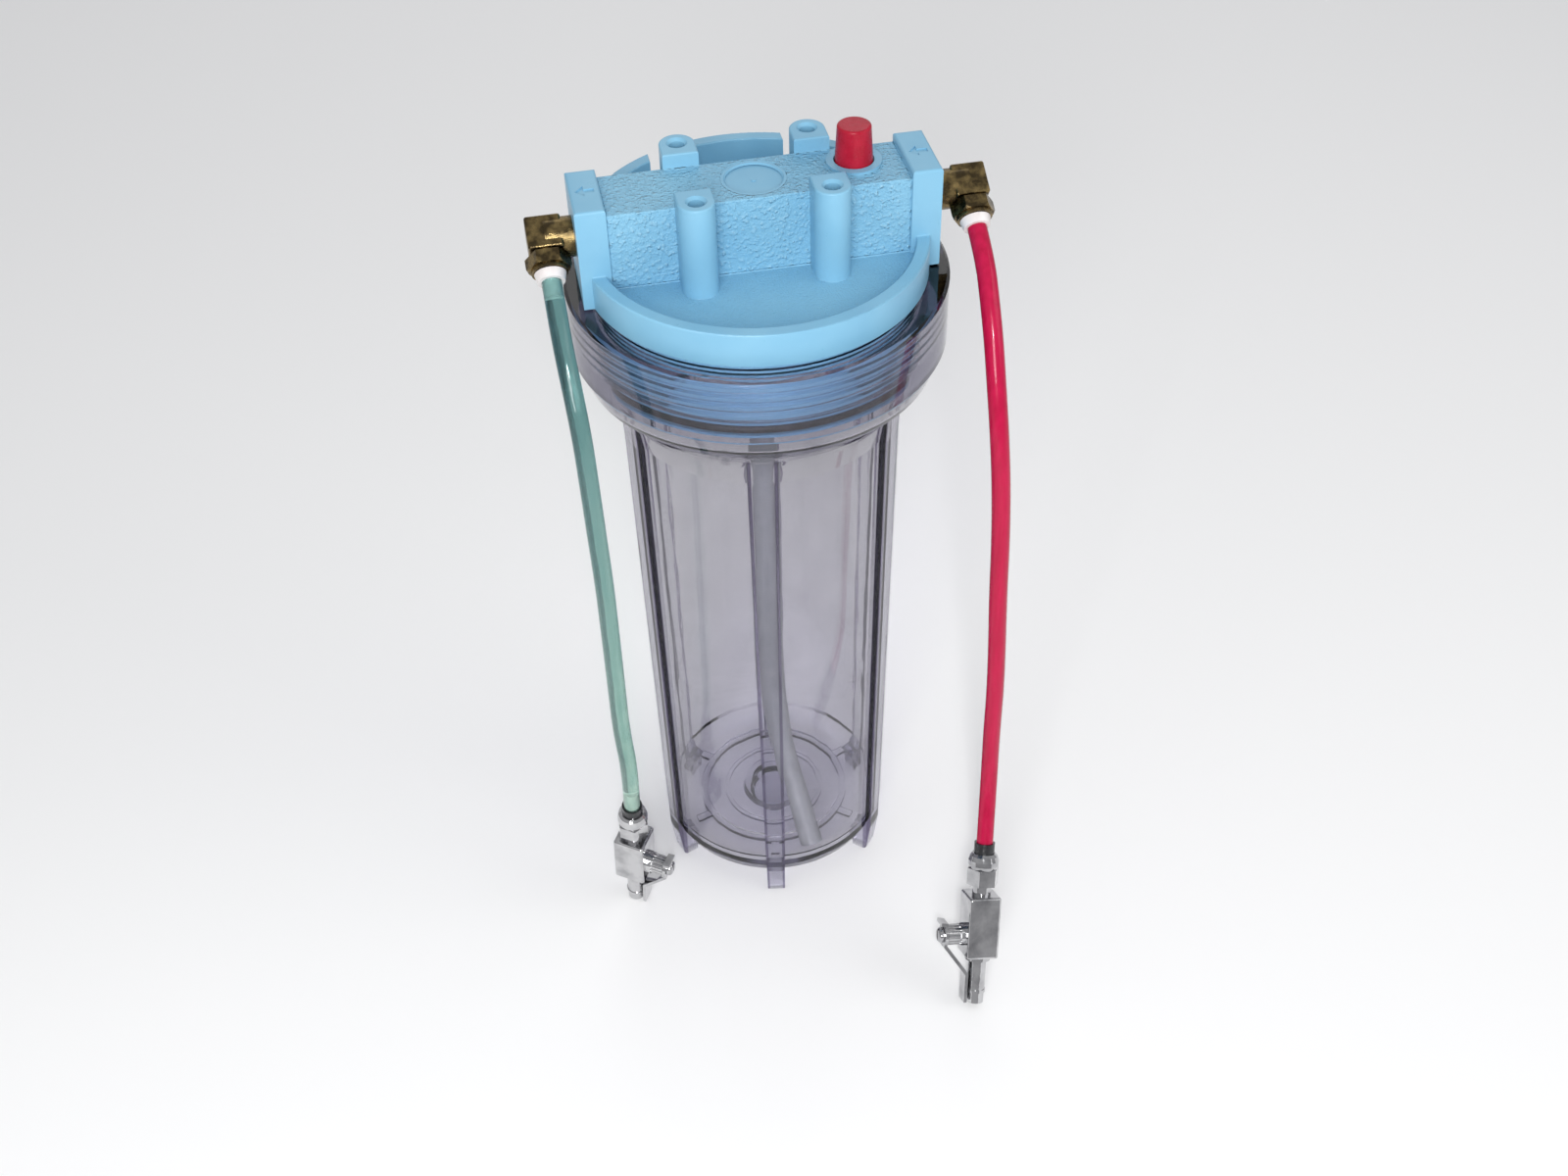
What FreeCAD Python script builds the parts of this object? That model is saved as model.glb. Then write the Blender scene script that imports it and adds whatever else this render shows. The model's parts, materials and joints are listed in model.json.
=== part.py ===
import FreeCAD, Part
import math
import os

# Clear-bowl water filter housing: a moulded head with inlet and outlet elbows, a screwed-on clear bowl,
# a pressure relief button, and two short hoses that each end in a small ball valve.
# Millimetres, +Z up, origin on the bowl's axis at the level of its feet. +X is the inlet side.

V = FreeCAD.Vector

# ---- driving dimensions ----------------------------------------------------------------------------
HEAD_TOP = 305.0          # top of the two end blocks above the feet
BAR_TOP = 302.5           # top of the bar that joins the blocks
RIM_BOTTOM = 270.8        # underside of the flange
FLANGE_FLOOR = 276.2      # upper surface of the flange inside the lip
LIP_TOP_FRONT = 282.0
LIP_TOP_BACK = 288.0      # the lip is taller behind the bar
LIP_THICK = 4.5
RIM_R = 55.7
BAR_HALF_WIDTH = 12.1
BLOCK_HALF_WIDTH = 12.9
BLOCK_FACE_X = 57.5
BLOCK_THICK = 9.6
POST_X, POST_Y = 21.0, 18.2
POST_R = 5.75
POST_TOP = 307.5
POST_HOLE_R = 2.5
POST_HOLE_DEPTH = 16.0
DISC_R, DISC_DEPTH = 9.6, 0.6      # smooth round recess in the middle of the bar

PORT_Z = 290.0
PORT_R = 6.5
PORT_DEPTH = 13.0
CHANNEL_R = 4.3

THREAD_PITCH = 3.5
THREAD_ROOT_R = 52.5
THREAD_CREST_R = 53.8
THREAD_LOW, THREAD_HIGH = 253.5, 267.5
THREAD_GAP = 0.35
PLUG_R = 50.5
PLUG_INNER_R = 44.0
PLUG_BOTTOM = 243.4
PLUG_ROOF = 266.0
GROOVE_LOW, GROOVE_HIGH = 244.3, 248.1
GROOVE_R = 47.5
O_RING_R, O_RING_WIRE_R = 49.25, 1.5

BOWL_TOP = 270.2
COLLAR_R = 62.5
COLLAR_LOW = 243.0
SHOULDER_LOW = 219.0
BODY_TOP_R, BODY_LOW_R = 48.0, 45.4
BOWL_LOW = 10.0
WALL = 3.0
FLOOR_THICK = 4.5
RIB_COUNT = 6
RIB_FIRST_ANGLE = -100.4
RIB_TOP = 230.5
RIB_WIDTH_TOP, RIB_WIDTH_LOW = 9.4, 7.0
RIB_PROUD = 2.3
FOOT_INNER_R = 38.5

BUTTON_X, BUTTON_Y = 32.5, 2.0
BUTTON_BASE_R, BUTTON_TOP_R = 6.1, 5.4
BUTTON_HEIGHT = 12.6
BUTTON_BOTTOM = 303.0
BUTTON_TRAVEL = 2.5
RING_R, RING_TOP = 8.9, 303.7
WELL_R, WELL_FLOOR = 6.5, 299.8
VENT_R, VENT_ROOF = 4.0, 291.0

HOSE_R = 3.175            # quarter-inch tubing
HOSE_BORE_R = 2.15

# Each elbow: its centre's X, and how far its outlet leans forward from straight down, in degrees.
ELBOWS = {"out": (-66.5, 60.0), "in": (69.5, 60.0)}
ELBOW_HALF = 5.6
NUT_LOW = 6.5             # from the elbow's centre along its outlet
SLEEVE_END = 14.98        # from the elbow's centre along its outlet

# Hose routes, from the elbow's sleeve to the valve.
HOSE_OUT = [
    (-66.5, -12.99, 282.5), (-66.5, -22.52, 277.0), (-66.2, -31.4, 269.0), (-65.4, -39.1, 258.5),
    (-64.6, -44.8, 245.7), (-64.3, -48.4, 230.1), (-64.0, -49.9, 211.2), (-63.4, -49.7, 187.2),
    (-63.4, -48.6, 162.2), (-63.4, -47.3, 137.2), (-63.5, -45.6, 112.2), (-62.0, -43.9, 87.0),
    (-62.7, -41.3, 64.2),
]
HOSE_IN = [
    (69.5, -12.99, 282.5), (69.5, -23.38, 276.5), (68.6, -33.0, 268.5), (68.1, -41.3, 258.5),
    (67.7, -48.3, 246.4), (68.0, -54.0, 231.4), (68.6, -58.3, 212.9), (69.0, -61.4, 191.1),
    (69.1, -63.5, 167.2), (69.9, -65.0, 143.6), (70.3, -66.3, 122.4), (70.2, -66.9, 101.6),
    (70.0, -69.4, 76.8), (66.0, -81.9, 56.3),
]
VALVE_LENGTH = 64.0
# Direction of each valve's stem, before it is squared to the valve's axis.
STEM_OUT = (0.850, -0.516, -0.088)
STEM_IN = (-0.984, 0.042, 0.172)

DIP_R, DIP_BORE_R = 4.4, 3.0
DIP_ROUTE = [(0, 0, 248.7), (0, 0, 64.0), (8.0, -36.6, 18.5)]


# ---- helpers ---------------------------------------------------------------------------------------
def cyl(r, low, high, x=0.0, y=0.0):
    return Part.makeCylinder(r, high - low, V(x, y, low))


def tube(r_out, r_in, low, high, x=0.0, y=0.0):
    return cyl(r_out, low, high, x, y).cut(cyl(r_in, low - 1, high + 1, x, y))


def box(x0, x1, y0, y1, z0, z1):
    return Part.makeBox(x1 - x0, y1 - y0, z1 - z0, V(x0, y0, z0))


def hexagon(across_flats, low, high):
    r = across_flats / math.sqrt(3)
    pts = [V(r * math.cos(math.radians(60 * i)), r * math.sin(math.radians(60 * i)), low) for i in range(7)]
    return Part.Face(Part.makePolygon(pts)).extrude(V(0, 0, high - low))


def revolve(points):
    """A solid of revolution about Z from an outline of (radius, z) corners."""
    corners = [V(r, 0, z) for r, z in points]
    face = Part.Face(Part.makePolygon(corners + corners[:1]))
    return face.revolve(V(0, 0, 0), V(0, 0, 1), 360)


def fuse(solids):
    return solids[0].multiFuse(solids[1:]).removeSplitter()


def cut(solid, tools):
    for tool in tools:
        solid = solid.cut(tool)
    return solid


def rounded_edges(solid, radius, wanted):
    """Fillet the edges that wanted() picks; the solid stays as it is if the fillet can't be made."""
    edges = [edge for edge in solid.Edges if wanted(edge)]
    result = solid.makeFillet(radius, edges)
    return result if result.isValid() else solid


def at_height(z, tolerance=0.01):
    def picks(edge):
        return abs(edge.BoundBox.ZMin - z) < tolerance and abs(edge.BoundBox.ZMax - z) < tolerance
    return picks


def placed(solid, origin, z_axis, x_axis):
    """Move a solid built on the world axes to origin, with its Z and X along the given directions."""
    w = V(*z_axis).normalize()
    s = V(*x_axis)
    s = (s - w * s.dot(w)).normalize()
    t = w.cross(s)
    matrix = FreeCAD.Matrix(s.x, t.x, w.x, origin[0], s.y, t.y, w.y, origin[1],
                            s.z, t.z, w.z, origin[2], 0, 0, 0, 1)
    copy = solid.copy()
    copy.Placement = FreeCAD.Placement(matrix).multiply(copy.Placement)
    return copy


def route_path(points):
    """Straight runs joined by tangent arcs, each as large as its two runs allow; returns wire and radii."""
    p = [V(*q) for q in points]
    edges, radii, start = [], [], p[0]
    for before, corner, after in zip(p, p[1:], p[2:]):
        u, v = (before - corner), (after - corner)
        run = min(u.Length, v.Length)
        u.normalize()
        v.normalize()
        half_turn = (math.pi - u.getAngle(v)) / 2
        reach = 0.45 * run
        radius = reach / math.tan(half_turn)
        bisector = (u + v).normalize()
        middle = corner + bisector * (radius / math.cos(half_turn) - radius)
        arc_start, arc_end = corner + u * reach, corner + v * reach
        edges.append(Part.LineSegment(start, arc_start).toShape())
        edges.append(Part.Arc(arc_start, middle, arc_end).toShape())
        radii.append(radius)
        start = arc_end
    edges.append(Part.LineSegment(start, p[-1]).toShape())
    return Part.Wire(edges), radii


def hose(points, r_out, r_in, name):
    path, radii = route_path(points)
    start, ahead = V(*points[0]), V(*points[1]) - V(*points[0])
    rings = []
    for r in (r_out, r_in):
        profile = Part.Wire(Part.makeCircle(r, start, ahead))
        rings.append(path.makePipeShell([profile], True, False))
    solid = rings[0].cut(rings[1])
    section = math.pi * (r_out ** 2 - r_in ** 2)
    print(name, "length", round(path.Length, 1), "radii", [round(radius) for radius in radii])
    print(name, "volume ratio", round(solid.Volume / section / path.Length, 4))
    return solid


def thread_ridge(root_r, crest_r, low, high, foot, crest):
    """A right-hand helical ridge of trapezoid section between two heights, rooted below root_r."""
    buried = 0.6
    slope = (foot - crest) / 2 / (crest_r - root_r)
    base = foot / 2 + buried * slope
    helix = Part.makeHelix(THREAD_PITCH, high - low, root_r)
    helix.translate(V(0, 0, low))
    outline = [V(root_r - buried, 0, low - base), V(crest_r, 0, low - crest / 2),
               V(crest_r, 0, low + crest / 2), V(root_r - buried, 0, low + base)]
    profile = Part.makePolygon(outline + outline[:1])
    return Part.Wire(helix.Edges).makePipeShell([profile], True, True)


# ---- head ------------------------------------------------------------------------------------------
def make_head():
    inner_x = BLOCK_FACE_X - BLOCK_THICK
    flange = cyl(RIM_R, RIM_BOTTOM, FLANGE_FLOOR)
    lip = tube(RIM_R, RIM_R - LIP_THICK, RIM_BOTTOM, LIP_TOP_BACK)
    front_cut = box(-70, 70, -70, 0, LIP_TOP_FRONT, LIP_TOP_BACK + 1)
    notches = [box(s * 23 - 4, s * 23 + 4, 40, 70, FLANGE_FLOOR, LIP_TOP_BACK + 1) for s in (-1, 1)]
    lip = cut(lip, [front_cut] + notches)
    bar = box(-inner_x - 1, inner_x + 1, -BAR_HALF_WIDTH, BAR_HALF_WIDTH, RIM_BOTTOM, BAR_TOP)
    blocks = []
    for side in (-1, 1):
        x0, x1 = sorted((side * inner_x, side * BLOCK_FACE_X))
        blocks.append(box(x0, x1, -BLOCK_HALF_WIDTH, BLOCK_HALF_WIDTH, RIM_BOTTOM, HEAD_TOP))
    posts = []
    for sx in (-1, 1):
        for sy in (-1, 1):
            near, far = sorted((sy * (BAR_HALF_WIDTH - 1), sy * POST_Y))
            posts.append(cyl(POST_R, FLANGE_FLOOR - 1, POST_TOP, sx * POST_X, sy * POST_Y))
            left, right = sx * POST_X - POST_R, sx * POST_X + POST_R
            posts.append(box(left, right, near, far, FLANGE_FLOOR - 1, POST_TOP))
    button_ring = cyl(RING_R, BAR_TOP - 1, RING_TOP, BUTTON_X, BUTTON_Y)
    thread_core = cyl(THREAD_ROOT_R, THREAD_LOW - 2.5, RIM_BOTTOM + 1)
    plug = cyl(PLUG_R, PLUG_BOTTOM, THREAD_LOW)
    head = fuse([flange, lip, bar, button_ring, thread_core, plug] + blocks + posts)
    head = rounded_edges(head, 0.9, at_height(HEAD_TOP))
    head = rounded_edges(head, 0.6, at_height(POST_TOP))
    head = rounded_edges(head, 0.5, at_height(LIP_TOP_FRONT))
    head = rounded_edges(head, 0.5, at_height(LIP_TOP_BACK))
    head = rounded_edges(head, 0.45, lambda edge: at_height(BAR_TOP)(edge) and edge.BoundBox.XLength > 8)

    hollow = cyl(PLUG_INNER_R, PLUG_BOTTOM - 1, PLUG_ROOF)
    groove = tube(PLUG_R + 5, GROOVE_R, GROOVE_LOW, GROOVE_HIGH)
    recess = Part.makeCone(DISC_R - 0.7, DISC_R + 0.6, 1.3, V(0, 0, BAR_TOP - DISC_DEPTH))
    gate_mark = tube(DISC_R, 0.8, BAR_TOP - DISC_DEPTH - 0.25, BAR_TOP - DISC_DEPTH + 0.05)
    recess = recess.fuse(gate_mark)
    well = cyl(WELL_R, WELL_FLOOR, RING_TOP + 1, BUTTON_X, BUTTON_Y)
    stem_hole = cyl(2.1, VENT_ROOF - 1, WELL_FLOOR + 1, BUTTON_X, BUTTON_Y)
    vent = cyl(VENT_R, PLUG_ROOF - 1, VENT_ROOF, BUTTON_X, BUTTON_Y)
    tools = [hollow, groove, recess, well, stem_hole, vent]
    for sx in (-1, 1):
        port = Part.makeCylinder(PORT_R, PORT_DEPTH, V(sx * BLOCK_FACE_X, 0, PORT_Z), V(-sx, 0, 0))
        tools.append(port)
        for sy in (-1, 1):
            x, y = sx * POST_X, sy * POST_Y
            tools.append(cyl(POST_HOLE_R, POST_TOP - POST_HOLE_DEPTH, POST_TOP + 1, x, y))
            tools.append(Part.makeCone(POST_HOLE_R, 3.4, 0.9, V(x, y, POST_TOP - 0.9)))
    inlet_x = 41.0
    outlet_run = Part.makeCylinder(CHANNEL_R, BLOCK_FACE_X - 4, V(-BLOCK_FACE_X + 4, 0, PORT_Z), V(1, 0, 0))
    inlet_run = Part.makeCylinder(CHANNEL_R, BLOCK_FACE_X - 4 - inlet_x, V(inlet_x, 0, PORT_Z), V(1, 0, 0))
    inlet_drop = cyl(2.9, PLUG_ROOF - 1, PORT_Z, inlet_x, 0)
    head = cut(head, tools + [outlet_run, inlet_run, inlet_drop])

    spigot = tube(9.0, CHANNEL_R, 252.0, PLUG_ROOF + 1)
    male = thread_ridge(THREAD_ROOT_R, THREAD_CREST_R, THREAD_LOW, THREAD_HIGH, 2.2, 0.9)
    head = fuse([head, spigot, male])
    head = head.cut(cyl(CHANNEL_R, 251.0, PORT_Z))
    arrows = [flow_arrow(side) for side in (-1, 1)]
    return head.cut(arrows[0]).cut(arrows[1])


def flow_arrow(side):
    """A shallow flow arrow in the top of an end block, pointing the way the water runs (towards -X)."""
    middle = side * (BLOCK_FACE_X - BLOCK_THICK / 2)
    tip, neck, tail = middle - 3.0, middle - 0.2, middle + 3.0
    outline = [(tip, 0), (neck, 3.0), (neck, 1.1), (tail, 1.1), (tail, -1.1), (neck, -1.1), (neck, -3.0)]
    corners = [V(x, y, HEAD_TOP - 0.5) for x, y in outline]
    return Part.Face(Part.makePolygon(corners + corners[:1])).extrude(V(0, 0, 2))


# ---- bowl ------------------------------------------------------------------------------------------
def make_bowl():
    seal_bore = O_RING_R + O_RING_WIRE_R + 0.3
    bore_top = THREAD_ROOT_R + THREAD_GAP
    inner_low = BOWL_LOW + FLOOR_THICK
    body_top_in, body_low_in = BODY_TOP_R - WALL, BODY_LOW_R - WALL
    outline = [
        (0, BOWL_LOW), (BODY_LOW_R - 6, BOWL_LOW), (BODY_LOW_R - 1.8, BOWL_LOW + 1.8),
        (BODY_LOW_R, BOWL_LOW + 6), (BODY_TOP_R, SHOULDER_LOW),
        (BODY_TOP_R + 1.5, SHOULDER_LOW + 8.0), (BODY_TOP_R + 4.6, SHOULDER_LOW + 13.5),
        (COLLAR_R - 3.5, COLLAR_LOW - 4.5), (COLLAR_R, COLLAR_LOW + 4.0),
        (COLLAR_R, BOWL_TOP - 1.0), (COLLAR_R - 1.0, BOWL_TOP), (bore_top + 1.6, BOWL_TOP),
        (bore_top, BOWL_TOP - 1.6), (bore_top, THREAD_LOW - 2.9), (seal_bore, THREAD_LOW - 4.0),
        (seal_bore, PLUG_BOTTOM - 3.5), (body_top_in, PLUG_BOTTOM - 14.0), (body_low_in, inner_low + 6),
        (body_low_in - 1.8, inner_low + 1.8), (body_low_in - 6, inner_low), (0, inner_low),
    ]
    bowl = revolve(outline)
    angles = [RIB_FIRST_ANGLE + 360 / RIB_COUNT * i for i in range(RIB_COUNT)]
    ribs = [make_rib(angle) for angle in angles]
    floor_ring = tube(30.5, 28.0, inner_low - 0.5, inner_low + 2.2)
    inner_ring = tube(20.4, 18.8, inner_low - 0.5, inner_low + 1.0)
    boss = revolve([(0, BOWL_LOW - 3.4), (8.0, BOWL_LOW - 3.4), (10.5, BOWL_LOW + 1), (0, BOWL_LOW + 1)])
    pip = revolve([(0, inner_low - 1), (13.0, inner_low - 1), (12.0, inner_low + 3.0),
                   (9.0, inner_low + 3.0), (8.0, inner_low + 0.5), (0, inner_low + 0.5)])
    spokes = [radial_bar(angle, 29.5, 36.0, 3.2, inner_low - 0.5, inner_low + 1.2) for angle in angles]
    bowl = fuse([bowl, floor_ring, inner_ring, boss, pip] + ribs + spokes)
    female = thread_ridge(THREAD_ROOT_R + THREAD_GAP, THREAD_CREST_R + THREAD_GAP,
                          THREAD_LOW - THREAD_PITCH / 2, BOWL_TOP + 5.25, 3.0, 1.7)
    female.rotate(V(0, 0, 0), V(0, 0, 1), -180)      # half a pitch lower is half a turn back
    return bowl.cut(female)


def radial_bar(angle, r0, r1, width, z0, z1):
    bar = box(r0, r1, -width / 2, width / 2, z0, z1)
    bar.rotate(V(0, 0, 0), V(0, 0, 1), angle)
    return bar


def make_rib(angle):
    """One outside rib, wider at the shoulder than at its foot, which stands below the bowl."""
    outline = [(BODY_LOW_R - 1.5, BOWL_LOW + 12), (BODY_LOW_R - 6.4, BOWL_LOW + 2),
               (FOOT_INNER_R, BOWL_LOW + 1.5), (FOOT_INNER_R + 1.4, 0),
               (BODY_LOW_R - 0.6, 0), (BODY_LOW_R + 0.5, 1.2),
               (BODY_LOW_R + RIB_PROUD, BOWL_LOW + 6), (BODY_TOP_R + RIB_PROUD, SHOULDER_LOW),
               (BODY_TOP_R + RIB_PROUD + 0.6, RIB_TOP), (BODY_TOP_R - 1.5, RIB_TOP)]
    half_low, half_top, top = RIB_WIDTH_LOW / 2, RIB_WIDTH_TOP / 2, RIB_TOP + 1
    sides = [V(0, -half_low, -1), V(0, half_low, -1), V(0, half_top, top), V(0, -half_top, top)]
    wedge = Part.Face(Part.makePolygon(sides + sides[:1])).extrude(V(COLLAR_R, 0, 0))
    rib = revolve(outline).common(wedge)
    rib.rotate(V(0, 0, 0), V(0, 0, 1), angle)
    return rib


# ---- relief valve in the head ----------------------------------------------------------------------
def make_relief():
    x, y = BUTTON_X, BUTTON_Y
    top = BUTTON_BOTTOM + BUTTON_HEIGHT
    cap = Part.makeCone(BUTTON_BASE_R, BUTTON_TOP_R, BUTTON_HEIGHT, V(x, y, BUTTON_BOTTOM))
    cap = rounded_edges(cap, 0.8, at_height(top))
    cavity_top = BUTTON_BOTTOM + 4.2
    stem_r, stem_top = 1.95, cavity_top + 5
    cap = cap.cut(cyl(4.4, BUTTON_BOTTOM - 1, cavity_top, x, y))
    cap = cap.cut(cyl(stem_r, cavity_top - 1, stem_top, x, y))
    low = VENT_ROOF - 4.3
    seat = VENT_ROOF - 0.05
    stem = fuse([cyl(stem_r, low + 0.9, stem_top, x, y), cyl(2.9, low, low + 0.9, x, y)])
    seal = tube(3.5, stem_r, seat - 1.9, seat, x, y)
    retainer = tube(3.2, stem_r, low + 0.95, seat - 1.95, x, y)
    coil_low, coil_high = WELL_FLOOR + 0.45, cavity_top - 0.45
    helix = Part.makeHelix((coil_high - coil_low) / 4.0, coil_high - coil_low, 3.2)
    helix.translate(V(0, 0, coil_low))
    wire = Part.Wire(Part.makeCircle(0.38, V(3.2, 0, coil_low), V(0, 1, 0)))
    spring = Part.Wire(helix.Edges).makePipeShell([wire], True, True)
    spring.translate(V(x, y, 0))
    return {"relief_button": cap, "relief_stem": stem, "relief_seal": seal, "relief_retainer": retainer,
            "relief_spring": spring}


# ---- brass elbows ----------------------------------------------------------------------------------
def make_elbow(name):
    x, lean = ELBOWS[name]
    side = 1 if x > 0 else -1
    centre = V(x, 0, PORT_Z)
    tilt = math.radians(lean)
    down = (0, -math.sin(tilt), -math.cos(tilt))
    inlet_reach = abs(x) - BLOCK_FACE_X

    h = ELBOW_HALF
    block = box(-h, h, -h, h, -h, h)
    block = rounded_edges(block, 0.8, lambda edge: True)
    inlet = Part.makeCylinder(6.4, 12.4 + inlet_reach, V(0, 0, 0), V(-1, 0, 0))
    collar = hexagon(11.0, h - 0.5, inlet_reach - 0.35)
    collar.rotate(V(0, 0, 0), V(0, 1, 0), -90)
    neck = cyl(4.9, h - 1, NUT_LOW + 0.8)
    body = fuse([block, inlet, collar, neck])
    body = body.cut(cyl(3.0, 0, 10)).cut(Part.makeCylinder(3.0, 40, V(0, 0, 0), V(-1, 0, 0)))

    seat = NUT_LOW + 1.0
    nut = fuse([hexagon(12.4, NUT_LOW, NUT_LOW + 4.2), cyl(5.7, NUT_LOW + 4.0, NUT_LOW + 5.4)])
    nut = nut.common(Part.makeCone(9.2, 5.4, 6.0, V(0, 0, NUT_LOW)))
    nut = nut.cut(cyl(5.0, NUT_LOW - 1, seat)).cut(cyl(4.05, seat - 0.5, SLEEVE_END))
    cone_low = NUT_LOW + 5.6
    flare = Part.makeCone(5.0, 4.3, SLEEVE_END - cone_low, V(0, 0, cone_low))
    sleeve = fuse([cyl(4.0, seat + 0.1, cone_low), flare])
    sleeve = sleeve.cut(cyl(HOSE_BORE_R, NUT_LOW, SLEEVE_END + 1))
    insert = tube(HOSE_BORE_R - 0.12, 1.4, seat + 0.2, SLEEVE_END + 5.5)
    parts = {"body": body, "nut": nut, "sleeve": sleeve, "insert": insert}
    return {"elbow_%s_%s" % (name, key): placed(solid, tuple(centre), down, (side, 0, 0))
            for key, solid in parts.items()}


# ---- mini ball valves ------------------------------------------------------------------------------
VALVE_MIDDLE = 36.5       # from the hose end of the valve to its ball
LEVER_OFFSET = 13.4       # from the valve's axis to the underside of the lever
LEVER_THICK = 1.2
VALVE_HALF = 6.2          # half the width of the square body
BODY_START, BODY_END = 20.4, 45.0
ARM_OFFSET = 4.2          # from the valve's axis to the underside of the lever's arm
LEVER_WIDTH = 6.0
KNURLS = 18


def make_valve(name, route, stem_direction):
    start = V(*route[-1])
    along = (start - V(*route[-2])).normalize()

    ferrule = tube(3.9, HOSE_BORE_R, 0, 4.8)
    ferrule = fuse([ferrule, tube(3.4, HOSE_BORE_R, 4.8, 9.0)])
    insert = tube(HOSE_BORE_R - 0.12, 1.4, -9.0, 8.8)
    dome = revolve([(0, 4.0), (4.4, 4.0), (5.3, 5.0), (5.8, 6.8), (5.8, 8.6), (5.2, 10.4), (0, 10.4)])
    nut = fuse([dome, hexagon(10.8, 10.0, 16.4)])
    nut = nut.cut(cyl(4.0, 3, 4.9)).cut(cyl(3.5, 4, 9.1)).cut(cyl(4.3, 9.1, 17))

    half, middle = VALVE_HALF, VALVE_MIDDLE
    square = box(-half, half, -half, half, BODY_START, BODY_END)
    square = rounded_edges(square, 1.0, lambda edge: True)
    boss = Part.makeCylinder(4.4, 3.0, V(half - 1, 0, middle), V(1, 0, 0))
    body = fuse([square, cyl(4.2, 9.3, 17.0), cyl(3.6, 16.0, BODY_START + 1), boss])
    body = body.cut(cyl(1.9, 9, middle - 4)).cut(cyl(4.6, middle - 6.5, BODY_END + 1))
    body = body.cut(Part.makeCylinder(1.85, 9, V(0, 0, middle), V(1, 0, 0)))

    spout = fuse([cyl(4.58, middle + 5.5, BODY_END + 0.4), cyl(4.9, BODY_END + 0.05, BODY_END + 1.6),
                  cyl(3.5, BODY_END, VALVE_LENGTH - 4.5), cyl(3.75, VALVE_LENGTH - 5.4, VALVE_LENGTH - 4.2),
                  cyl(3.3, VALVE_LENGTH - 5.0, VALVE_LENGTH)])
    spout = spout.cut(cyl(1.9, middle, VALVE_LENGTH + 1))
    ball = Part.makeSphere(4.0, V(0, 0, middle)).cut(cyl(1.9, middle - 7, middle + 7))
    ball = ball.cut(box(3.0, 5.0, -0.9, 0.9, middle - 5, middle + 5))
    clearance = Part.makeSphere(4.03, V(0, 0, middle))
    seats = [tube(4.5, 1.9, middle - 6.4, middle - 2.0).cut(clearance),
             tube(4.5, 1.9, middle + 2.0, middle + 5.4).cut(clearance)]

    def across(r, near, far):
        return Part.makeCylinder(r, far - near, V(near, 0, middle), V(1, 0, 0))

    lever_top = LEVER_OFFSET + LEVER_THICK
    stem = fuse([across(1.8, 4.4, lever_top + 0.1), box(3.1, 4.6, -0.85, 0.85, middle - 1.4, middle + 1.4)])
    gland = across(3.9, half + 2.05, LEVER_OFFSET - 0.3)
    knurl_r = 4.05
    for i in range(KNURLS):
        angle = 2 * math.pi * i / KNURLS
        foot = V(half, knurl_r * math.cos(angle), middle + knurl_r * math.sin(angle))
        gland = gland.cut(Part.makeCylinder(0.45, 12, foot, V(1, 0, 0)))
    gland = gland.cut(across(1.85, 0, 20))
    screw = across(2.9, lever_top + 0.15, lever_top + 2.0)
    screw = rounded_edges(screw, 1.2, lambda edge: edge.BoundBox.XMin > lever_top + 1.9)
    screw = screw.cut(box(lever_top + 1.5, lever_top + 4, -0.35, 0.35, middle - 3, middle + 3))
    parts = {"ferrule": ferrule, "insert": insert, "nut": nut, "body": body, "spout": spout,
             "ball": ball, "seats": Part.makeCompound(seats), "stem": stem, "gland": gland,
             "screw": screw, "lever": make_lever()}
    return {"valve_%s_%s" % (name, key): placed(solid, tuple(start), tuple(along), stem_direction)
            for key, solid in parts.items()}


def make_lever():
    """A pressed lever: thumb tab, flat hub on the stem, slope in to the spout, arm beside the spout."""
    low, high = LEVER_OFFSET, LEVER_OFFSET + LEVER_THICK
    hub_end, slope_end, tip = VALVE_MIDDLE + 3.6, VALVE_MIDDLE + 15.2, VALVE_LENGTH - 0.6
    arm_low, arm_high = ARM_OFFSET, ARM_OFFSET + LEVER_THICK
    tab = VALVE_MIDDLE - 5.4
    outline = [(low, tab), (low, hub_end), (arm_low, slope_end), (arm_low, tip), (arm_high, tip),
               (arm_high, slope_end + 0.6), (high, hub_end + 0.6), (high, tab + 1.3), (high + 1.5, tab + 0.9),
               (high + 1.5, tab - 0.4), (high, tab - 0.2)]
    corners = [V(x, -LEVER_WIDTH / 2, z) for x, z in outline]
    lever = Part.Face(Part.makePolygon(corners + corners[:1])).extrude(V(0, LEVER_WIDTH, 0))
    hub = Part.makeCylinder(4.4, LEVER_THICK, V(low, 0, VALVE_MIDDLE), V(1, 0, 0))
    lever = fuse([lever, hub])
    return lever.cut(Part.makeCylinder(1.8, 6, V(low - 1, 0, VALVE_MIDDLE), V(1, 0, 0)))


# ---- dip tube --------------------------------------------------------------------------------------
def make_dip():
    adapter = fuse([tube(CHANNEL_R - 0.05, 2.0, 251.0, 262.0), tube(6.5, 2.0, 248.8, 251.9),
                    tube(DIP_BORE_R - 0.05, 2.0, 240.0, 249.5)])
    return {"dip_adapter": adapter, "dip_tube": hose(DIP_ROUTE, DIP_R, DIP_BORE_R, "dip tube")}


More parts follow.
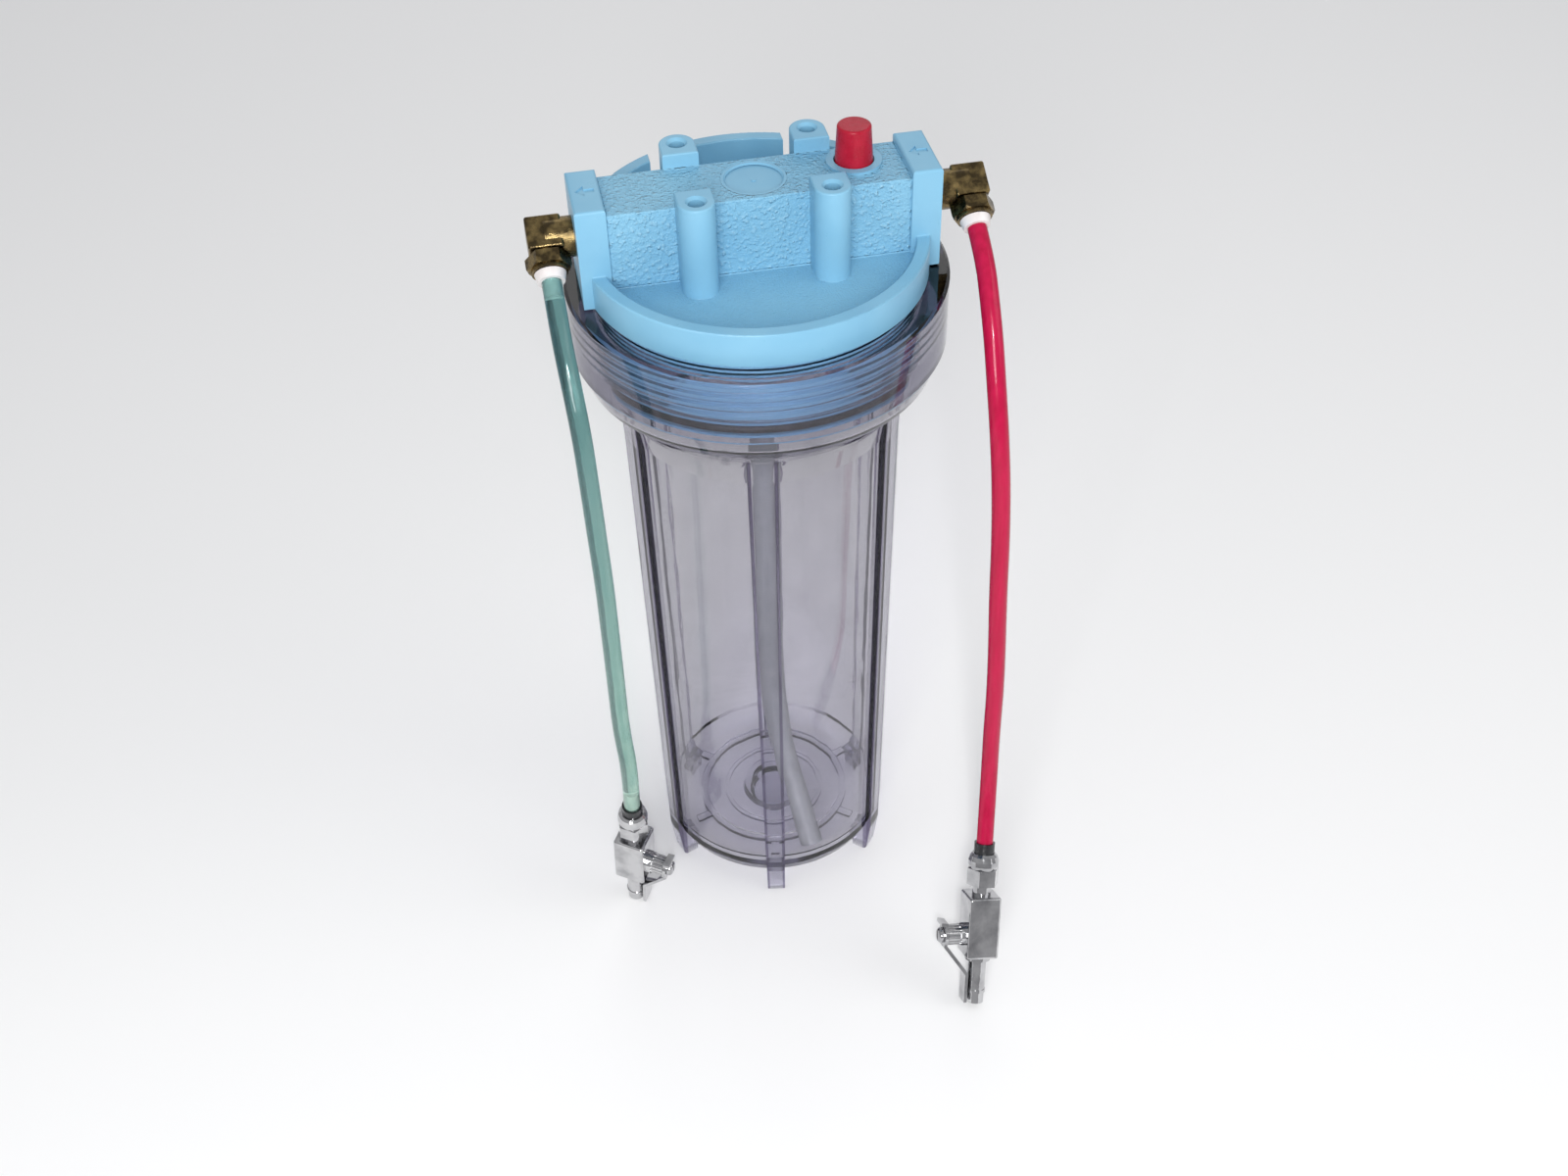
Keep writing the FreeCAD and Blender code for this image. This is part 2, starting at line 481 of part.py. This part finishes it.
def make_all():
    nodes = {"head_cap": make_head(), "bowl": make_bowl()}
    nodes["bowl_o_ring"] = Part.makeTorus(O_RING_R, O_RING_WIRE_R, V(0, 0, (GROOVE_LOW + GROOVE_HIGH) / 2))
    nodes.update(make_relief())
    nodes.update(make_dip())
    for name, route, stem in (("out", HOSE_OUT, STEM_OUT), ("in", HOSE_IN, STEM_IN)):
        nodes.update(make_elbow(name))
        nodes["hose_" + name] = hose(route, HOSE_R, HOSE_BORE_R, "hose " + name)
        nodes.update(make_valve(name, route, stem))
    return nodes


os.makedirs("parts", exist_ok=True)
for node, shape in make_all().items():
    if not shape.isValid():
        print("invalid:", node)
    shape.exportStep("parts/%s.step" % node)
print("done")
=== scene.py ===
import json
import math

import bpy
from mathutils import Matrix, Vector


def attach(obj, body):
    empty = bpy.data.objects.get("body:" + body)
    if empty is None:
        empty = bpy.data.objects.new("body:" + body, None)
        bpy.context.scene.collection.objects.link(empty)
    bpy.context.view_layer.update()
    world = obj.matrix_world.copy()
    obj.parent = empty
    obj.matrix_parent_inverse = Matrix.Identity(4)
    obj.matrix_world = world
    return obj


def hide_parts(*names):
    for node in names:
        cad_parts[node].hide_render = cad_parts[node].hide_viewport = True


# Clear-bowl water filter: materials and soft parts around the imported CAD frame. Metres, +Z up.

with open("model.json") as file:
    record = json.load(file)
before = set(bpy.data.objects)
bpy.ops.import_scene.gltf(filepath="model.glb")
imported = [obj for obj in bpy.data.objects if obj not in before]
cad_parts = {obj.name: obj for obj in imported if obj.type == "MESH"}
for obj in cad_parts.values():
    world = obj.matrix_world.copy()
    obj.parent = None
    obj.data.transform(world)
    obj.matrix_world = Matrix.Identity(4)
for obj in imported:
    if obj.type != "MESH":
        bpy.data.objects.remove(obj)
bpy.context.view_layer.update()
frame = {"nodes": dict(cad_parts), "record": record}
nodes = frame["nodes"]

# ---- sizes taken from the design -------------------------------------------------------------------
HOSE_DIAMETER = 0.00635
BORE_DIAMETER = 0.0043
SIDES = ("out", "in")
HOSE_OUT = [
    (-0.0665, -0.01299, 0.2825), (-0.0665, -0.02252, 0.277), (-0.0662, -0.0314, 0.269),
    (-0.0654, -0.0391, 0.2585), (-0.0646, -0.0448, 0.2457), (-0.0643, -0.0484, 0.2301),
    (-0.064, -0.0499, 0.2112), (-0.0634, -0.0497, 0.1872), (-0.0634, -0.0486, 0.1622),
    (-0.0634, -0.0473, 0.1372), (-0.0635, -0.0456, 0.1122), (-0.062, -0.0439, 0.087),
    (-0.0627, -0.0413, 0.0642),
]
HOSE_IN = [
    (0.0695, -0.01299, 0.2825), (0.0695, -0.02338, 0.2765), (0.0686, -0.033, 0.2685),
    (0.0681, -0.0413, 0.2585), (0.0677, -0.0483, 0.2464), (0.068, -0.054, 0.2314),
    (0.0686, -0.0583, 0.2129), (0.069, -0.0614, 0.1911), (0.0691, -0.0635, 0.1672),
    (0.0699, -0.065, 0.1436), (0.0703, -0.0663, 0.1224), (0.0702, -0.0669, 0.1016), (0.07, -0.0694, 0.0768),
    (0.066, -0.0819, 0.0563),
]
ROUTES = {"out": HOSE_OUT, "in": HOSE_IN}


# ---- camera ----------------------------------------------------------------------------------------
CAM_AZIMUTH = math.radians(-10.86)
CAM_ELEVATION = math.radians(43.24)
CAM_ROLL = math.radians(-1.38)
CAM_DISTANCE = 0.6588
CAM_SIDE = 0.0064
CAM_TARGET_Z = 0.1272
CAM_LENS = 39.8


def make_camera():
    a, e, r = CAM_AZIMUTH, CAM_ELEVATION, CAM_ROLL
    back = Vector((math.sin(a) * math.cos(e), -math.cos(a) * math.cos(e), math.sin(e)))
    right = (-back).cross(Vector((0, 0, 1))).normalized()
    up = right.cross(-back)
    place = Vector((0, 0, CAM_TARGET_Z)) + back * CAM_DISTANCE + right * CAM_SIDE
    right, up = math.cos(r) * right + math.sin(r) * up, -math.sin(r) * right + math.cos(r) * up
    data = bpy.data.cameras.new("camera")
    data.lens = CAM_LENS
    data.clip_start = 0.01
    camera = bpy.data.objects.new("camera", data)
    camera.matrix_world = Matrix.Translation(place) @ Matrix((right, up, back)).transposed().to_4x4()
    bpy.context.scene.collection.objects.link(camera)
    bpy.context.scene.camera = camera


# ---- materials -------------------------------------------------------------------------------------
class Shader:
    """A Principled material with short calls to add its procedural nodes."""

    def __init__(self, name, color=(0.8, 0.8, 0.8), **values):
        self.material = bpy.data.materials.new(name)
        self.material.use_nodes = True
        self.tree = self.material.node_tree
        self.shader = self.tree.nodes["Principled BSDF"]
        self.shader.inputs["Base Color"].default_value = (*color, 1)
        for key, value in values.items():
            self.shader.inputs[key.replace("_", " ")].default_value = value
        self.place = self.node("ShaderNodeTexCoord").outputs["Object"]

    def node(self, kind, **inputs):
        made = self.tree.nodes.new(kind)
        for key, value in inputs.items():
            self.feed(made.inputs[key.replace("_", " ")], value)
        return made

    def feed(self, socket, value):
        if isinstance(value, bpy.types.NodeSocket):
            self.tree.links.new(value, socket)
        else:
            socket.default_value = value

    def math(self, operation, a, b=0.0, clamp=False):
        made = self.tree.nodes.new("ShaderNodeMath")
        made.operation, made.use_clamp = operation, clamp
        self.feed(made.inputs[0], a)
        self.feed(made.inputs[1], b)
        return made.outputs[0]

    def noise(self, scale, detail=4.0, roughness=0.55, place=None):
        return self.node("ShaderNodeTexNoise", Vector=place or self.place, Scale=scale, Detail=detail,
                         Roughness=roughness).outputs["Fac"]

    def cells(self, scale):
        made = self.node("ShaderNodeTexVoronoi", Vector=self.place, Scale=scale)
        made.feature = "SMOOTH_F1"
        return made.outputs["Distance"]

    def spread(self, value, low, high, to_low=0.0, to_high=1.0):
        made = self.node("ShaderNodeMapRange", Value=value)
        for key, limit in zip(("From Min", "From Max", "To Min", "To Max"), (low, high, to_low, to_high)):
            made.inputs[key].default_value = limit
        return made.outputs["Result"]

    def blend(self, factor, a, b):
        made = self.tree.nodes.new("ShaderNodeMix")
        made.data_type = "RGBA"
        self.feed(made.inputs["Factor"], factor)
        for socket, color in ((made.inputs[6], a), (made.inputs[7], b)):
            self.feed(socket, (*color, 1) if isinstance(color, tuple) else color)
        return made.outputs[2]

    def bump(self, height, distance, strength=1.0):
        made = self.node("ShaderNodeBump", Height=height, Distance=distance, Strength=strength)
        normal = self.shader.inputs["Normal"]
        if normal.is_linked:
            self.feed(made.inputs["Normal"], normal.links[0].from_socket)
        self.feed(normal, made.outputs["Normal"])

    def set(self, key, value):
        self.feed(self.shader.inputs[key], value)

    def between(self, value, low, high, soft=0.0002):
        """1 where value lies between low and high, falling to 0 over soft."""
        above = self.spread(value, low - soft, low)
        below = self.spread(value, high, high + soft, 1.0, 0.0)
        return self.math("MULTIPLY", above, below)

    def stretched(self, scale):
        """Object coordinates scaled along each axis, for marks that run one way."""
        made = self.node("ShaderNodeMapping", Vector=self.place)
        made.inputs["Scale"].default_value = scale
        return made.outputs["Vector"]

    def rib_shade_edges(self):
        """1 along both edges of each of the bowl's six ribs, which widen upwards, and on the wall behind; the
        mask of the painted shade on the ribs.
        """
        split = self.node("ShaderNodeSeparateXYZ", Vector=self.place)
        x, y, z = (split.outputs[key] for key in "XYZ")
        square = self.math("ADD", self.math("MULTIPLY", x, x), self.math("MULTIPLY", y, y))
        radius = self.math("SQRT", square)
        turn = self.math("SUBTRACT", self.math("ARCTAN2", y, x), RIB_FIRST_ANGLE - 5 * RIB_SPACING / 2)
        offset = self.math("SUBTRACT", self.math("MODULO", turn, RIB_SPACING), RIB_SPACING / 2)
        across = self.math("ABSOLUTE", self.math("MULTIPLY", self.math("SINE", offset), radius))
        half_width = self.spread(z, 0.0, RIB_TOP, RIB_HALF_LOW, RIB_HALF_TOP)
        short = self.math("SUBTRACT", half_width, across)
        on_edge = self.between(short, -0.0002, RIB_EDGE)
        far_out = self.spread(radius, RIB_SHADE_R, RIB_SHADE_R + 0.0006)
        on_rib = self.math("MULTIPLY", far_out, self.between(z, 0.0, RIB_TOP))
        return self.math("MULTIPLY", on_edge, on_rib)

    def let_lamps_through(self, tint):
        """Lamps light what is behind this surface, tinted by it."""
        path = self.node("ShaderNodeLightPath")
        clear = self.node("ShaderNodeBsdfTransparent", Color=(*tint, 1))
        mix = self.node("ShaderNodeMixShader", Fac=path.outputs["Is Shadow Ray"])
        self.feed(mix.inputs[1], self.shader.outputs["BSDF"])
        self.feed(mix.inputs[2], clear.outputs["BSDF"])
        self.feed(self.tree.nodes["Material Output"].inputs["Surface"], mix.outputs["Shader"])


RIB_FIRST_ANGLE = math.radians(-100.4)
RIB_SPACING = math.radians(60.0)
RIB_TOP = 0.2305
RIB_HALF_LOW, RIB_HALF_TOP = 0.0035, 0.0047
RIB_EDGE = 0.0008         # how far the painted shade reaches in from the rib's side

BAR_HALF_LENGTH = 0.0474  # of the bar between its end blocks
BAR_SIDE, BAR_LOW, BAR_HIGH = 0.01225, 0.2770, 0.3026
DISC_R, DISC_LEVEL = 0.0103, 0.3010
FLOOR_LOW, FLOOR_HIGH, FLOOR_R = 0.2760, 0.2764, 0.0508
RIB_SHADE_R = 0.0440       # distance from the bowl's axis where the painted shade on its ribs starts

HEAD_BLUE = (0.225, 0.475, 0.645)
HEAD_BLUE_DEEP = (0.185, 0.42, 0.60)
HEAD_BLUE_PALE = (0.38, 0.62, 0.75)


def head_material():
    """Sky-blue polypropylene: pebbled bar, finely textured flange floor, smooth posts, blocks and rim."""
    s = Shader("head_plastic", HEAD_BLUE, Roughness=0.34, Specular_IOR_Level=0.28)
    split = s.node("ShaderNodeSeparateXYZ", Vector=s.place)
    x, y, z = (split.outputs[key] for key in "XYZ")
    in_length = s.spread(s.math("ABSOLUTE", x), BAR_HALF_LENGTH, BAR_HALF_LENGTH + 0.0004, 1.0, 0.0)
    in_width = s.spread(s.math("ABSOLUTE", y), BAR_SIDE, BAR_SIDE + 0.00015, 1.0, 0.0)
    in_plan = s.math("MULTIPLY", in_length, in_width)
    in_bar = s.math("MULTIPLY", in_plan, s.between(z, BAR_LOW, BAR_HIGH))
    radius = s.math("SQRT", s.math("ADD", s.math("MULTIPLY", x, x), s.math("MULTIPLY", y, y)))
    below_disc = s.spread(z, DISC_LEVEL, DISC_LEVEL + 0.0005, 1.0, 0.0)
    off_disc = s.math("MAXIMUM", s.spread(radius, DISC_R, DISC_R + 0.0003), below_disc)
    pebbled = s.math("MULTIPLY", in_bar, off_disc)
    inside_lip = s.spread(radius, FLOOR_R, FLOOR_R + 0.0004, 1.0, 0.0)
    on_floor = s.math("MULTIPLY", s.between(z, FLOOR_LOW, FLOOR_HIGH), inside_lip)

    bumps = s.spread(s.cells(820.0), 0.10, 0.62, 1.0, 0.0)
    pebbles = s.math("MULTIPLY", bumps, s.spread(s.noise(640.0, 1.0), 0.34, 0.60))
    grain = s.noise(1500.0, 2.0)
    s.bump(s.math("MULTIPLY", pebbles, pebbled), 0.00042)
    s.bump(s.math("MULTIPLY", grain, s.math("MAXIMUM", on_floor, pebbled)), 0.0003)
    s.bump(s.noise(70.0, 2.0), 0.0002, 0.6)

    drift = s.spread(s.noise(28.0, 3.0), 0.35, 0.7)
    color = s.blend(drift, HEAD_BLUE, HEAD_BLUE_DEEP)
    # pebble tops painted paler: partly wear, partly painted highlight on the bumps
    worn_and_highlit = s.math("MULTIPLY", s.spread(pebbles, 0.4, 0.9), pebbled)
    color = s.blend(s.math("MULTIPLY", worn_and_highlit, 0.38), color, HEAD_BLUE_PALE)
    scuffs = s.spread(s.noise(420.0, 6.0, 0.7), 0.66, 0.78)
    s.set("Base Color", s.blend(s.math("MULTIPLY", scuffs, 0.3), color, HEAD_BLUE_PALE))
    s.set("Roughness", s.spread(s.noise(150.0, 4.0), 0.3, 0.7, 0.27, 0.42))
    return s.material


def clear_material():
    """Clear moulded plastic with a grey tint, fine flow lines, and painted shade in dark violet along the
    edges of its ribs.
    """
    tint, cloudy, painted_rib_shade = (0.855, 0.85, 0.85), (0.80, 0.79, 0.795), (0.20, 0.17, 0.27)
    s = Shader("clear_plastic", tint, Roughness=0.03, IOR=1.49, Transmission_Weight=1.0)
    s.bump(s.noise(95.0, 3.0, place=s.stretched((1.0, 1.0, 0.12))), 0.0001, 0.5)
    s.set("Roughness", s.spread(s.noise(260.0, 5.0, 0.7), 0.6, 0.85, 0.008, 0.07))
    clouds = s.spread(s.noise(45.0, 4.0, 0.6), 0.35, 0.7)
    # painted shade: dark violet along both edges of each rib
    s.set("Base Color", s.blend(s.rib_shade_edges(), s.blend(clouds, tint, cloudy), painted_rib_shade))
    s.let_lamps_through((0.92, 0.92, 0.95))
    body = s.node("ShaderNodeVolumeAbsorption", Color=(0.50, 0.49, 0.60, 1), Density=95.0)
    s.feed(s.tree.nodes["Material Output"].inputs["Volume"], body.outputs["Volume"])
    return s.material


def brass_material():
    s = Shader("brass", (0.40, 0.29, 0.12), Metallic=1.0, Roughness=0.26)
    tone = s.spread(s.noise(260.0, 5.0), 0.30, 0.60)
    s.set("Base Color", s.blend(tone, (0.36, 0.26, 0.11), (0.075, 0.055, 0.028)))
    s.set("Roughness", s.spread(s.noise(500.0, 4.0), 0.3, 0.7, 0.16, 0.38))
    s.bump(s.noise(900.0, 2.0, place=s.stretched((1.0, 1.0, 6.0))), 0.00012, 0.6)
    return s.material


def chrome_material():
    """Chrome plate, slightly uneven, with dull patches."""
    s = Shader("chrome", (0.50, 0.50, 0.52), Metallic=1.0, Roughness=0.06)
    s.set("Roughness", s.spread(s.noise(380.0, 5.0, 0.7), 0.45, 0.8, 0.04, 0.2))
    patches = s.spread(s.noise(120.0, 3.0), 0.4, 0.75)
    s.set("Base Color", s.blend(patches, (0.60, 0.60, 0.61), (0.32, 0.32, 0.335)))
    s.bump(s.noise(180.0, 3.0), 0.0002, 0.5)
    return s.material


def steel_material():
    s = Shader("spring_steel", (0.55, 0.55, 0.57), Metallic=1.0, Roughness=0.3)
    s.set("Roughness", s.spread(s.noise(900.0, 4.0), 0.3, 0.7, 0.22, 0.4))
    s.bump(s.noise(1400.0, 3.0), 0.00003, 0.6)
    return s.material


def dark_material(name, color, low, high):
    """Black rubber or plastic with uneven gloss."""
    s = Shader(name, color, Roughness=low)
    s.set("Base Color", s.blend(s.spread(s.noise(240.0, 4.0), 0.4, 0.75), color, (0.03, 0.03, 0.033)))
    s.set("Roughness", s.spread(s.noise(700.0, 4.0), 0.3, 0.7, low, high))
    s.bump(s.noise(1500.0, 3.0), 0.00006)
    return s.material


def red_button_material():
    s = Shader("red_plastic", (0.36, 0.008, 0.02), Roughness=0.32, Specular_IOR_Level=0.2)
    tone = s.spread(s.noise(180.0, 4.0), 0.35, 0.7)
    s.set("Base Color", s.blend(tone, (0.42, 0.012, 0.035), (0.32, 0.008, 0.022)))
    s.set("Roughness", s.spread(s.noise(420.0, 5.0), 0.35, 0.75, 0.22, 0.42))
    s.bump(s.noise(520.0, 3.0), 0.00015, 0.6)
    return s.material


def pale_material(name, color, other, soft):
    """Natural white plastic that lets a little light into itself, as in the sleeves, inserts and dip tube."""
    s = Shader(name, color, Roughness=0.35)
    s.set("Subsurface Weight", soft)
    s.set("Subsurface Radius", (0.002, 0.002, 0.002))
    s.set("Base Color", s.blend(s.spread(s.noise(150.0, 4.0), 0.35, 0.7), color, other))
    s.set("Roughness", s.spread(s.noise(500.0, 4.0), 0.3, 0.7, 0.28, 0.45))
    s.bump(s.noise(300.0, 3.0), 0.0001, 0.5)
    return s.material


def green_hose_material():
    """Translucent green tubing with faint lines along its length, and painted shade that makes it deeper in
    colour towards the elbow.
    """
    tint, streak, painted_shade = (0.44, 0.63, 0.54), (0.22, 0.44, 0.38), (0.15, 0.31, 0.31)
    s = Shader("green_hose", tint, Roughness=0.08, IOR=1.4, Transmission_Weight=0.9)
    streaks = s.noise(520.0, 3.0, place=s.stretched((1.0, 1.0, 0.05)))
    height = s.node("ShaderNodeSeparateXYZ", Vector=s.place).outputs["Z"]
    pale = s.blend(s.spread(streaks, 0.38, 0.68), tint, streak)
    # painted shade: the colour deepens towards the top of the tube, by the elbow
    s.set("Base Color", s.blend(s.spread(height, 0.09, 0.27), pale, painted_shade))
    s.set("Roughness", s.spread(s.noise(240.0, 4.0), 0.35, 0.75, 0.05, 0.18))
    s.bump(streaks, 0.00015, 0.6)
    s.let_lamps_through((0.6, 0.8, 0.75))
    return s.material


def red_hose_material():
    """Glossy crimson tubing with faint extrusion lines."""
    s = Shader("red_hose", (0.50, 0.004, 0.055), Roughness=0.18, Specular_IOR_Level=0.2, Coat_Weight=0.12,
               Coat_Roughness=0.05)
    streaks = s.noise(420.0, 3.0, place=s.stretched((1.0, 1.0, 0.06)))
    s.set("Base Color", s.blend(s.spread(streaks, 0.35, 0.7), (0.47, 0.006, 0.055), (0.38, 0.004, 0.04)))
    s.set("Roughness", s.spread(s.noise(240.0, 4.0), 0.35, 0.75, 0.14, 0.28))
    s.bump(streaks, 0.00012, 0.5)
    return s.material


def make_materials():
    return {
        "head_plastic": head_material(),
        "clear_plastic": clear_material(),
        "rubber": dark_material("rubber", (0.009, 0.009, 0.010), 0.38, 0.62),
        "red_plastic": red_button_material(),
        "brass": brass_material(),
        "spring_steel": steel_material(),
        "chrome": chrome_material(),
        "black_plastic": dark_material("black_plastic", (0.012, 0.012, 0.014), 0.14, 0.32),
        "white_plastic": pale_material("white_plastic", (0.78, 0.75, 0.75), (0.66, 0.61, 0.60), 0.3),
        "milky_plastic": pale_material("milky_plastic", (0.30, 0.31, 0.325), (0.24, 0.25, 0.265), 0.1),
        "green_hose": green_hose_material(),
        "red_hose": red_hose_material(),
    }


# ---- pieces ----------------------------------------------------------------------------------------
def dress_nodes(materials):
    for part in frame["record"]["subparts"]:
        mesh = nodes[part["node"]].data
        mesh.materials.clear()
        mesh.materials.append(materials[part["material_slot"]])


def nurbs_curve(name, points, diameter):
    """A round curve of one smooth NURBS spline with the route's points as its control points."""
    data = bpy.data.curves.new(name, "CURVE")
    data.dimensions = "3D"
    spline = data.splines.new("NURBS")
    spline.points.add(len(points) - 1)
    for point, place in zip(spline.points, points):
        point.co = (*place, 1)
    spline.order_u = 3
    spline.use_endpoint_u = True
    spline.resolution_u = 12
    data.bevel_depth = diameter / 2
    data.bevel_resolution = 8
    data.use_fill_caps = True
    made = bpy.data.objects.new(name, data)
    bpy.context.scene.collection.objects.link(made)
    return made


def route_length(points):
    """Length of the smooth line through a NURBS route: a quadratic B-spline, sampled."""
    curve = nurbs_curve("ruler", points, 0.0)
    curve.data.bevel_depth = 0
    mesh = bpy.data.meshes.new_from_object(curve)
    spots = [v.co for v in mesh.vertices]
    total = sum((b - a).length for a, b in zip(spots, spots[1:]))
    bpy.data.meshes.remove(mesh)
    bpy.data.objects.remove(curve)
    return total


def make_hoses(materials):
    for side, slot in zip(SIDES, ("green_hose", "red_hose")):
        route = ROUTES[side]
        hose = nurbs_curve("hose_%s_skin" % side, route, HOSE_DIAMETER)
        hose.data.materials.append(materials[slot])
        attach(hose, "head")
        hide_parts("hose_" + side)
        route_length(route)


# ---- floor and light -------------------------------------------------------------------------------
FLOOR_HALF = 3.0
SKY_LOW, SKY_HIGH = (0.42, 0.42, 0.43), (0.56, 0.565, 0.575)
LIGHTS = {                # place, width and power
    "key": ((-0.40, -1.15, 0.75), 0.45, 8.5),
    "fill": ((1.1, -0.5, 0.9), 0.9, 3.5),
    "back": ((0.2, 1.2, 1.0), 0.9, 1.8),
    "flash": ((-0.10, -0.60, 0.70), 0.06, 1.9),
}
LIGHT_AIM = Vector((0, 0, 0.17))


def make_stage():
    mesh = bpy.data.meshes.new("floor")
    half = FLOOR_HALF
    corners = [(-half, -half, 0), (half, -half, 0), (half, half, 0), (-half, half, 0)]
    mesh.from_pydata(corners, [], [(0, 1, 2, 3)])
    floor = bpy.data.objects.new("floor", mesh)
    bpy.context.scene.collection.objects.link(floor)
    mesh.materials.append(Shader("floor_paint", (0.93, 0.93, 0.93), Roughness=0.85).material)
    make_sky()
    for name, (place, width, power) in LIGHTS.items():
        area_light(name, place, width, power)


def make_sky():
    """A plain studio sky, paler overhead than at the horizon."""
    world = bpy.data.worlds.new("studio")
    world.use_nodes = True
    tree = world.node_tree
    height = tree.nodes.new("ShaderNodeSeparateXYZ")
    tree.links.new(tree.nodes.new("ShaderNodeTexCoord").outputs["Generated"], height.inputs["Vector"])
    ramp = tree.nodes.new("ShaderNodeValToRGB")
    tree.links.new(height.outputs["Z"], ramp.inputs["Fac"])
    for stop, color in zip(ramp.color_ramp.elements, (SKY_LOW, SKY_HIGH)):
        stop.color = (*color, 1)
    tree.links.new(ramp.outputs["Color"], tree.nodes["Background"].inputs["Color"])
    bpy.context.scene.world = world


def area_light(name, place, width, power):
    data = bpy.data.lights.new(name, "AREA")
    data.size, data.energy = width, power
    light = bpy.data.objects.new(name, data)
    light.location = place
    light.rotation_euler = (LIGHT_AIM - Vector(place)).to_track_quat("-Z", "Y").to_euler()
    bpy.context.scene.collection.objects.link(light)


bpy.context.scene.view_settings.view_transform = "Standard"
make_camera()
all_materials = make_materials()
make_hoses(all_materials)
dress_nodes(all_materials)
make_stage()
